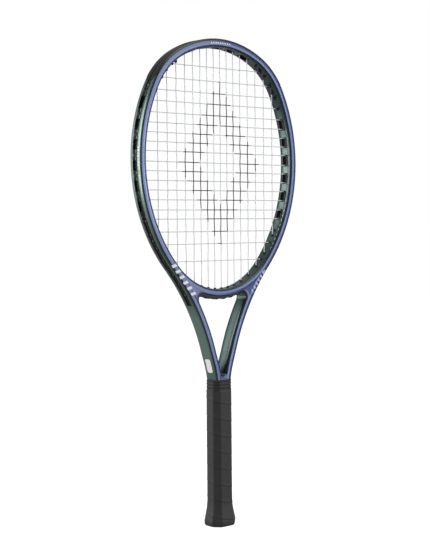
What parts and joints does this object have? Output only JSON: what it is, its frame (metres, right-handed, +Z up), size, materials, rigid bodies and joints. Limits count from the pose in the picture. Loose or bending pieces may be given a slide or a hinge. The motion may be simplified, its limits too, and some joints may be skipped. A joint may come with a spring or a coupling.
{
  "type": "tennis racket",
  "caption": "Strung tennis racket with an open throat, ported frame, bumper guard and wrapped octagonal grip with a butt-end trap door.",
  "frame": {"origin": "centre of the butt cap's end face, at the bottom of the handle", "axes": "+Z up along the racket from butt to head, +X across the string face to its right edge seen from the front, -Y out of the front face"},
  "size_m": [0.2944, 0.0376, 0.6914],
  "materials": {
    "frame_paint": "gloss paint over moulded carbon fibre, blue on the faces and grey-green on the sides",
    "guard_nylon": "satin moulded nylon",
    "string_polyester": "smooth silver-grey monofilament",
    "pallet_foam": "rigid foam",
    "core_foam": "open foam",
    "cap_nylon": "satin moulded nylon",
    "staple_steel": "bright wire",
    "grip_polyurethane": "soft perforated wrap",
    "tape_vinyl": "thin tape",
    "collar_rubber": "moulded rubber with ribs",
    "label_vinyl": "blank label"
  },
  "bodies": {
    "racket": {"crown_tube": "frame_paint", "shoulder_tube_left": "frame_paint", "shoulder_tube_right": "frame_paint", "side_tube_left": "frame_paint", "side_tube_right": "frame_paint", "throat_arm_left": "frame_paint", "throat_arm_right": "frame_paint", "shaft_tube_left": "frame_paint", "shaft_tube_right": "frame_paint", "throat_bridge": "frame_paint", "shaft_web": "frame_paint", "bumper_guard": "guard_nylon", "top_port_liners": "guard_nylon", "side_port_liners_left": "guard_nylon", "side_port_liners_right": "guard_nylon", "side_grommet_strip_left": "guard_nylon", "side_grommet_strip_right": "guard_nylon", "bridge_grommet_strip": "guard_nylon", "mains_string": "string_polyester", "cross_string": "string_polyester", "string_knots": "string_polyester", "handle_pallet_front": "pallet_foam", "handle_pallet_back": "pallet_foam", "handle_foam_core": "core_foam", "butt_cap": "cap_nylon", "butt_staples": "staple_steel", "grip_wrap": "grip_polyurethane", "finishing_tape": "tape_vinyl", "grip_collar": "collar_rubber", "blank_label": "label_vinyl"},
    "trap_door": {"butt_trap_door": "cap_nylon"}
  },
  "joints": [
    {"name": "trap_door_slide", "type": "slide", "parent": "racket", "child": "trap_door", "axis": [0, 0, -1], "range_m": [0, 0.02]}
  ]
}
